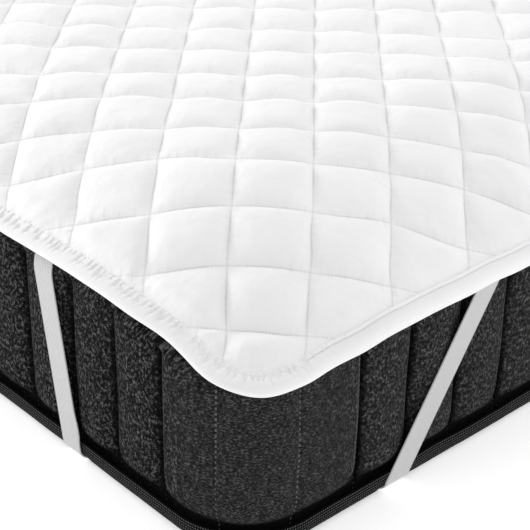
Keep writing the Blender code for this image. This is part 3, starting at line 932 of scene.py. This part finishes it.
def makeMattressFinish():
    finish = Finish("charcoalKnit", 0.95, Sheen_Weight=0.02, Sheen_Roughness=0.4, Specular_IOR_Level=0.05)
    channel = finish.mapped("channels")[0]
    along, level = finish.mapped("side")
    fromSeam = offHalf(channel + 0.5) * mattress["pitch"]
    dash = finish.between(offHalf(level * mattress["stitches"]), 0.20, 0.28, 1.0, 0.0)
    middle = sum(mattress["beside"]) / 2
    corner = finish.between(abs(channel - middle), 0.60, 0.75, 1.0, 0.0)
    thread = finish.between(fromSeam, 0.0004, 0.0008, 1.0, 0.0) * dash * (corner * 0.75 + 0.25)
    upright = finish.noise(finish.joined(along, level * 0.6), 420, 4.0, 0.8)
    lying = finish.noise(finish.joined(along * 0.5, level), 640, 4.0, 0.8)
    inCorner = finish.between(abs(channel - middle), 0.45, 1.6, 1.0, 0.0)
    ends = finish.between(abs(finish.single(finish.place(), "Y")), 0.972, 0.990)
    specks = upright + (lying - upright) * inCorner
    clumps = finish.noise(finish.joined(along, level * 0.7), 130, 2.0, 0.5)
    contrast = ends * (1.0 - inCorner) * 3.2 + 2.0
    knit = 0.5 + (specks * 0.86 + clumps * 0.14 - 0.5) * contrast
    tone = finish.colours(knit, [(0.24, grey(0.002)), (0.45, grey(0.014)), (0.60, grey(0.050)),
                                 (1.0, grey(0.34))])
    # painted highlight: the edge of a channel beside its seam is painted lighter, on the side away from the
    # corner
    signed = ((channel + 0.5) % 1 - 0.5) * (ends * 2.0 - 1.0) * mattress["pitch"]
    lip = finish.between(signed, 0.0022, 0.0032) * finish.between(signed, 0.0050, 0.0075, 1.0, 0.0)
    lip = lip * (1.0 - corner) * finish.between(level, 0.034, 0.042)
    # painted shade: darker in the seam grooves (not at the two shallow corner seams) and near black in the
    # recess above the foot tape
    shade = finish.between(fromSeam, 0.0005, 0.0070, 0.10, 1.0)
    shade = shade + (1.0 - shade) * corner
    shade = shade * finish.between(level, 0.020, 0.034, 0.12, 1.0)
    dark = finish.blended(shade, grey(0.0005), tone)
    # painted shade: the foot end face, away from the corner, is made darker than the long side
    dark = finish.blended(ends * (1.0 - inCorner) * 0.45, dark, grey(0.001))
    # painted highlight on the channel edges, stronger on the thread dashes
    edgeHighlighted = finish.blended(lip * (dash * 0.45 + 0.25), dark, grey(0.14))
    colour = finish.blended(thread * 0.75, edgeHighlighted, grey(0.26))
    finish.surface(Base_Color=colour, Normal=finish.bump(knit * 0.0014 + thread * 0.0003))
    return finish.material


mattressPiece = makeMattress()
finishPiece(mattressPiece, makeMattressFinish(), "charcoal_ticking", "mattress")
print("mattress", len(mattressPiece.data.polygons))

# black tape round the foot of the mattress

footTape = {
    "stations": 900,
    "press": 0.0019,                 # how far the elastic presses it in
    "seed": 77,
}

# elastic bands

band = {
    "thickness": 0.0012,
    "gap": 0.0005,
    "clear": 0.0003,                 # above the surface that the bed stands on
    "tuck": 0.024,
    "lean": 0.9,                     # goes over the rim this much aslant
    "endTop": 0.255,                 # middle of the band, from the corner of the mattress
    "endBase": 0.226,
    "endWidth": 0.0260,
    "endDrop": 0.173,                # height of the straight run down the side
    "sideTop": 0.291,
    "sideBase": 0.188,
    "sideWidth": 0.0300,
    "sideDrop": 0.138,
    "columns": 15,
    "fold": 0.0012,                  # the edge nearer the corner turns in, near the mattress's foot
    "foldShare": 0.32,
    "foldHeights": (0.0215, 0.0270, 0.0340, 0.0520),
}


def makeFootTape():
    # inset and height: lip, flat face, rounded foot, underside; then back up inside
    outer = [(0.0030, 0.0205), (0.0012, 0.0212), (0.0002, 0.0200), (0.0, 0.0180), (0.0, 0.0150),
             (0.0, 0.0125), (0.0006, 0.0085), (0.0022, 0.0050), (0.0048, 0.0022), (0.0082, 0.0006),
             (0.0120, 0.0)]
    inner = [(0.0120, 0.0016), (0.0086, 0.0024), (0.0056, 0.0042), (0.0038, 0.0070), (0.0030, 0.0125),
             (0.0030, 0.0180)]
    profile = outer + inner
    count, rows = footTape["stations"], len(profile)
    piece, column, row = startGrid("footTape", count, rows)
    total = outlineLength(bed)
    place = column % count * total / count
    x, y, outX, outY = roundedOutline(bed, place)
    inset, level = np.array(profile + profile[:1]).T
    inset, level = inset[row], level[row]
    # the elastic presses into the foot of the tape
    fromEnd = np.abs(bed["halfWidth"] - np.abs(x) - band["endBase"]) - band["endWidth"] / 2
    fromSide = np.abs(bed["halfLength"] - np.abs(y) - band["sideBase"]) - band["sideWidth"] / 2
    fromBand = np.where(np.abs(outY) > 0.5, fromEnd, fromSide)
    pressed = 1 - smooth(0.001, 0.008, fromBand)
    press = footTape["press"] * pressed * (1 - smooth(0.004, 0.014, level))
    sway = 0.0005 * waves(x, y, footTape["seed"], (0.05, 0.2))
    inset = inset + np.maximum(sway, -0.0002) * (level > 0.003)
    movePoints(piece, np.stack([x - outX * inset, y - outY * inset, level + press], axis=1))
    addMap(piece, "tape", np.stack([column * total / count, level], axis=1))
    tidyMesh(piece, angle=50)
    return piece


def makeFootTapeFinish():
    finish = Finish("blackTape", 0.8, Specular_IOR_Level=0.05)
    along, level = finish.mapped("tape")
    ribs = offHalf(level * 360) * 2
    beads = offHalf(along * 400 + finish.noise(finish.joined(along * 90, level * 300), 1.0, 0.0)) * 2
    slub = finish.noise(finish.joined(along * 420, level * 700), 1.0, 1.0)
    tone = finish.colours(ribs * 0.24 + beads * 0.20 + ribs * beads * 0.30 + slub * 0.26,
                          [(0.36, grey(0.0005)), (0.52, grey(0.004)), (0.72, grey(0.150))])
    finish.surface(Base_Color=tone, Normal=finish.bump(ribs * 0.0005 + slub * 0.0002))
    return finish.material


footTapePiece = makeFootTape()
finishPiece(footTapePiece, makeFootTapeFinish(), "charcoal_ticking")
print("foot tape", len(footTapePiece.data.polygons))


def bandSections():
    # the band from under the cloth at the end, down, under the corner, and up the long side;
    # each section is the near and the far edge of its middle layer
    middle = band["gap"] + band["thickness"] / 2

    def rim(x, y, angle, lift):
        one = np.array([1.0])
        return rimPoint(one * x, one * y, one * angle, one * lift)[0]

    def foot(x, y, turn):
        sink = (band["gap"] + band["thickness"] + band["clear"]) * turn / (math.pi / 2)
        distance, out = sideDistance(np.array([x]), np.array([y]))
        radius = bed["base"] + middle - sink
        inset = bed["base"] - radius * math.cos(turn)
        point = np.array([x, y, 0.0]) + out[0] * (distance[0] - inset)
        point[2] = bed["base"] - radius * math.sin(turn)
        return point

    sections = []
    rimArc = (math.pi / 2 - fullSlope) * bed["rim"]
    for leg in ("end", "side"):
        top, base, width = band[leg + "Top"], band[leg + "Base"], band[leg + "Width"]

        def beside(distance, offset):
            if leg == "end":
                return bed["halfWidth"] - distance - offset, bed["halfLength"]
            return bed["halfWidth"], bed["halfLength"] - distance - offset

        part = []
        for offset in (-width / 2, width / 2):
            lean = (top - base) / band[leg + "Drop"]
            out = np.array([0.0, 1.0, 0.0]) if leg == "end" else np.array([1.0, 0.0, 0.0])
            slope = out * math.cos(fullSlope) - upward * math.sin(fullSlope)
            line = []
            for back in (band["tuck"], band["tuck"] / 2):
                x, y = beside(top + lean * (back + rimArc) + band["lean"] * (rimStart + back), offset)
                line.append(rim(x, y, fullSlope, middle) - slope * back)
            for angle in np.linspace(fullSlope, math.pi / 2, 5):
                over = lean * rimArc * (math.pi / 2 - angle) / (math.pi / 2 - fullSlope)
                over += band["lean"] * bed["rim"] * (1 - math.sin(angle))
                x, y = beside(top + over, offset)
                line.append(rim(x, y, angle, middle))
            x, y = beside(base, offset)
            lower = [foot(x, y, turn) for turn in np.linspace(0, math.pi / 2, 6)]
            upper = line[-1]
            line += [upper + (lower[0] - upper) * step / 24 for step in range(1, 24)]
            part.append(line + lower)
        rows = list(zip(*part))
        sections += rows if leg == "end" else rows[::-1]
    return np.array(sections)


def makeBand(corner, signX, signY):
    sections = bandSections() * (signX, signY, 1)
    columns = band["columns"]
    piece, column, row = startGrid("elasticBand" + corner, columns, len(sections) - 1)
    share = (column / columns)[:, None]
    near, far = sections[row, 0], sections[row, 1]
    points = near * (1 - share) + far * share
    bottom, low, high, top = band["foldHeights"]
    fold = smooth(bottom, low, points[:, 2]) * (1 - smooth(high, top, points[:, 2]))
    fold *= row < len(sections) // 2
    fold *= np.clip(1 - share[:, 0] / band["foldShare"], 0, 1)
    points[:, 1] -= fold * band["fold"] * signY
    movePoints(piece, points)
    lengths = np.linalg.norm(np.diff(sections.mean(axis=1), axis=0), axis=1)
    run = np.concatenate([[0], np.cumsum(lengths)])
    addMap(piece, "band", np.stack([share[:, 0], run[row]], axis=1))
    thickness = piece.modifiers.new("thickness", "SOLIDIFY")
    thickness.thickness = band["thickness"]
    thickness.offset = 0
    bpy.ops.object.modifier_apply(modifier="thickness")
    tidyMesh(piece, angle=50)
    return piece


def makeBandFinish():
    finish = Finish("greyElastic", 0.7, Sheen_Weight=0.1)
    across, along = finish.mapped("band")
    ribs = offHalf(across * 11) * 2
    slub = finish.noise(finish.joined(across * 30, along * 420), 1.0, 1.0)
    edge = finish.between(abs(across - 0.5), 0.42, 0.5)
    tone = finish.colours(ribs * 0.6 + slub * 0.4, [(0.15, grey(0.45)), (0.85, grey(0.67))])
    colour = finish.blended(edge * 0.25, tone, grey(0.40))
    finish.surface(Base_Color=colour, Normal=finish.bump(ribs * 0.0005 + slub * 0.0002))
    return finish.material


bandFinish = makeBandFinish()
for corner, node, signX, signY in (("FootRight", "elastic_band_foot_right", 1, -1),
                                   ("FootLeft", "elastic_band_foot_left", -1, -1),
                                   ("HeadRight", "elastic_band_head_right", 1, 1),
                                   ("HeadLeft", "elastic_band_head_left", -1, 1)):
    made = makeBand(corner, signX, signY)
    finishPiece(made, bandFinish, "grey_elastic", node)

# floor and light

studio = {
    "floor": 60.0,
    "floorDrop": 0.0006,
    "world": 0.83,
    "glow": 0.42,                # of the floor
    "lights": {
        "topLight": {"place": (-1.7, 1.6, 2.6), "aim": (0.0, 0.1, 0.2), "size": 2.4, "power": 17},
        "leftLight": {"place": (-2.6, -2.3, 1.1), "aim": (0.5, -0.9, 0.1), "size": 1.2, "power": 54},
        "rightLight": {"place": (2.3, 2.2, 1.1), "aim": (0.6, -0.7, 0.1), "size": 1.2, "power": 22},
    },
}


def addLight(name, setting):
    data = bpy.data.lights.new(name, "AREA")
    data.shape = "SQUARE"
    data.size = setting["size"]
    data.energy = setting["power"]
    thing = bpy.data.objects.new(name, data)
    bpy.context.scene.collection.objects.link(thing)
    thing.location = setting["place"]
    aim = Vector(setting["aim"]) - Vector(setting["place"])
    thing.rotation_euler = aim.to_track_quat("-Z", "Y").to_euler()


def addStudio():
    bpy.ops.object.select_all(action="DESELECT")
    bpy.ops.mesh.primitive_plane_add(size=studio["floor"], location=(0, 0, -studio["floorDrop"]))
    floor = bpy.context.active_object
    floor.name = "paleFloor"
    finish = Finish("palePaper", 0.9)
    grain = finish.noise(finish.place(), 3, 2.0)
    finish.surface(Base_Color=finish.colours(grain, [(0.3, grey(0.93)), (0.7, grey(0.95))]))
    finish.shader.inputs["Emission Color"].default_value = (1, 1, 1, 1)
    finish.shader.inputs["Emission Strength"].default_value = studio["glow"]
    floor.data.materials.append(finish.material)
    for name, setting in studio["lights"].items():
        addLight(name, setting)
    world = bpy.data.worlds.new("studio")
    bpy.context.scene.world = world
    world.use_nodes = True
    background = world.node_tree.nodes["Background"]
    background.inputs["Color"].default_value = (1, 1, 1, 1)
    background.inputs["Strength"].default_value = studio["world"]
    bpy.context.scene.view_settings.view_transform = "Standard"


addStudio()
print("studio ready")
